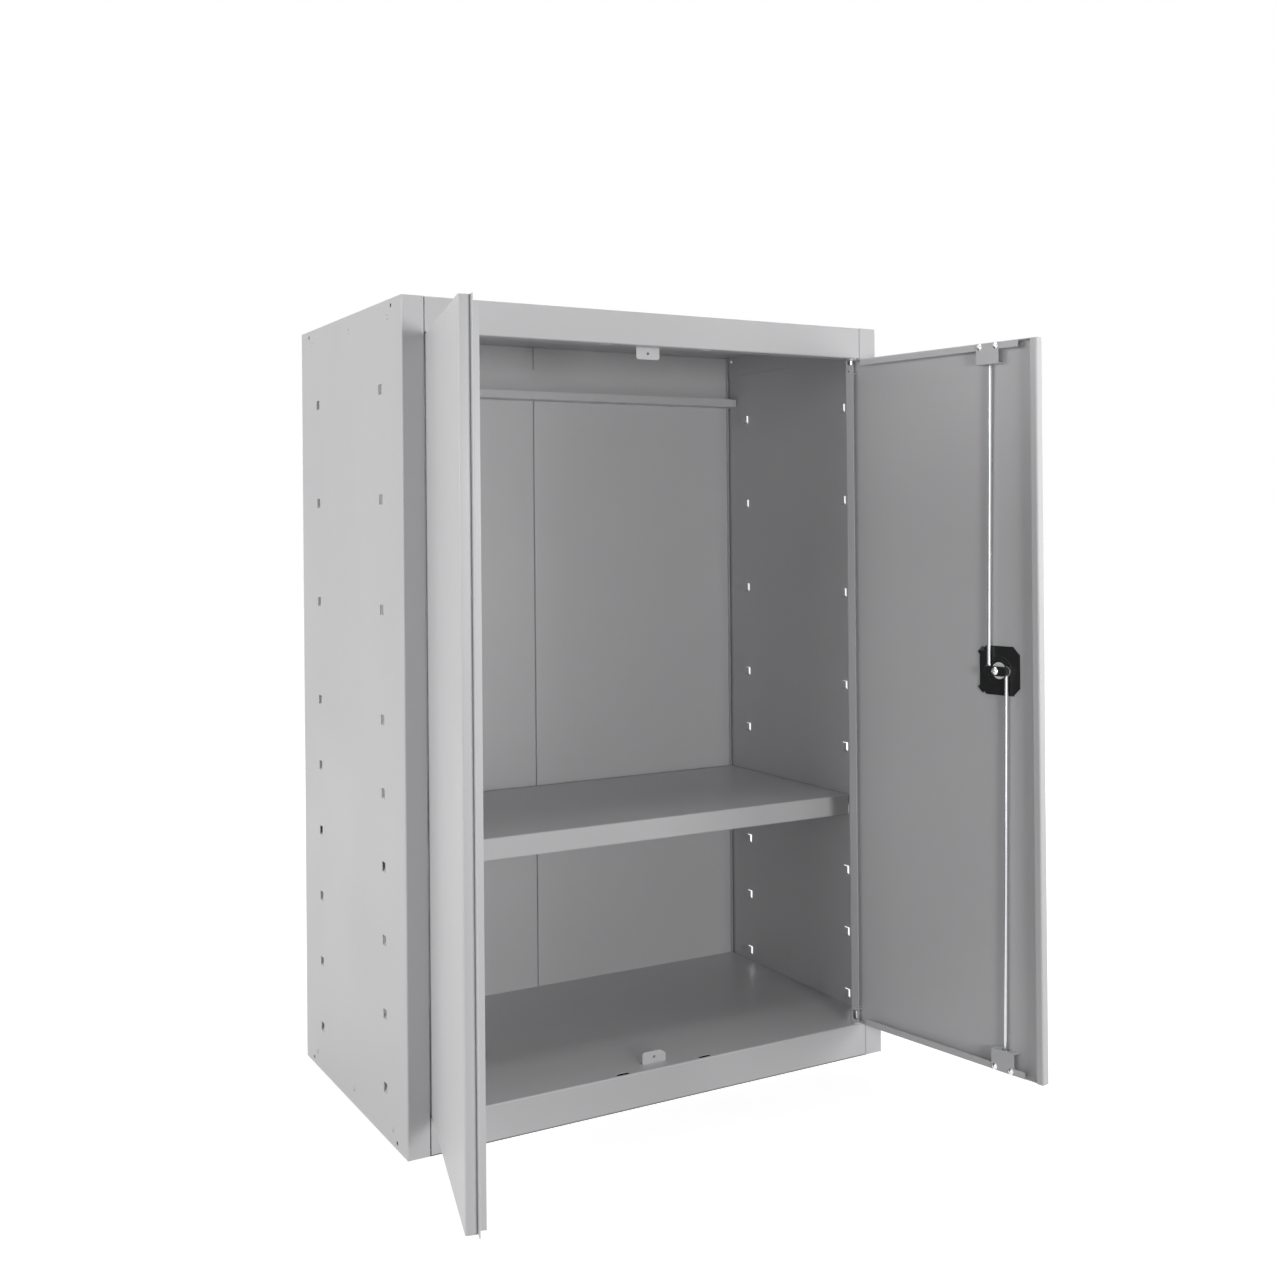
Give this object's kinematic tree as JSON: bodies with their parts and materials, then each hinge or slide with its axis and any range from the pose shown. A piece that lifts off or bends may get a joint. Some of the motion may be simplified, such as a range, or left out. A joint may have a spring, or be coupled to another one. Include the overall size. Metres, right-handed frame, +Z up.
{
  "type": "tool cabinet with doors",
  "caption": "Floor-standing sheet-steel tool cabinet, open in front, with two hinged doors, an inner shelf hung on wall lugs, and a turn-handle rod lock.",
  "frame": {"origin": "middle of the front plinth's bottom lip, at floor level", "axes": "+Z up; +X to the right across the front; +Y from the front to the back"},
  "size_m": [0.7826, 0.703, 1],
  "materials": {
    "paint": "semi-gloss",
    "zinc": "zinc plated",
    "bright_steel": "polished",
    "nylon": "matt",
    "black_plastic": "satin",
    "black_steel": "satin"
  },
  "bodies": {
    "cabinet": {"left_side_panel": "paint", "right_side_panel": "paint", "top_panel": "paint", "bottom_panel": "paint", "back_panel_left": "paint", "back_panel_right": "paint", "back_rail": "paint", "back_rivets": "bright_steel", "shelf": "paint", "frame_rivets": "bright_steel", "door_stop_top": "zinc", "door_stop_bottom": "zinc", "hinge_bushes": "nylon"},
    "left_door": {"left_door_panel": "paint", "closing_strip": "paint", "strip_rivets": "bright_steel", "left_hinge_pins": "bright_steel", "left_pin_brackets": "zinc"},
    "right_door": {"right_door_panel": "paint", "right_hinge_pins": "bright_steel", "right_pin_brackets": "zinc", "lock_plate": "black_plastic", "lock_escutcheon": "black_plastic", "lock_washer": "zinc", "rod_guide_top": "paint", "rod_guide_bottom": "paint", "guide_rivets": "bright_steel"},
    "lock_cam": {"turn_handle": "black_plastic", "lock_spindle": "zinc", "cam_bar": "black_steel", "cam_pins": "bright_steel", "cam_screw": "bright_steel"},
    "upper_rod": {"upper_rod": "zinc"},
    "lower_rod": {"lower_rod": "zinc"},
    "key_plug": {"key_plug": "bright_steel"}
  },
  "joints": [
    {"name": "left_door_hinge", "type": "hinge", "parent": "cabinet", "child": "left_door", "pos_m": [-0.308, -0.002, 0.5], "axis": [0, 0, 1], "range_deg": [-5, 105]},
    {"name": "right_door_hinge", "type": "hinge", "parent": "cabinet", "child": "right_door", "pos_m": [0.308, -0.002, 0.5], "axis": [0, 0, -1], "range_deg": [-10, 100]},
    {"name": "lock_turn", "type": "hinge", "parent": "right_door", "child": "lock_cam", "pos_m": [0.34989, -0.23958, 0.545], "axis": [0.9848, 0.1736, 0], "range_deg": [0, 90]},
    {"name": "upper_rod_pivot", "type": "hinge", "parent": "lock_cam", "child": "upper_rod", "pos_m": [0.34755, -0.22629, 0.545], "axis": [0.9848, 0.1736, 0], "range_deg": [-92.15, 0]},
    {"name": "lower_rod_pivot", "type": "hinge", "parent": "lock_cam", "child": "lower_rod", "pos_m": [0.35224, -0.25288, 0.545], "axis": [0.9848, 0.1736, 0], "range_deg": [-91.76, 0]},
    {"name": "key_turn", "type": "hinge", "parent": "lock_cam", "child": "key_plug", "pos_m": [0.38239, -0.23385, 0.545], "axis": [0.9848, 0.1736, 0], "range_deg": [0, 90]}
  ],
  "couplings": [
    {"joint": "upper_rod_pivot", "follows": "lock_turn", "ratio": -1.0227},
    {"joint": "lower_rod_pivot", "follows": "lock_turn", "ratio": -1.0184}
  ]
}
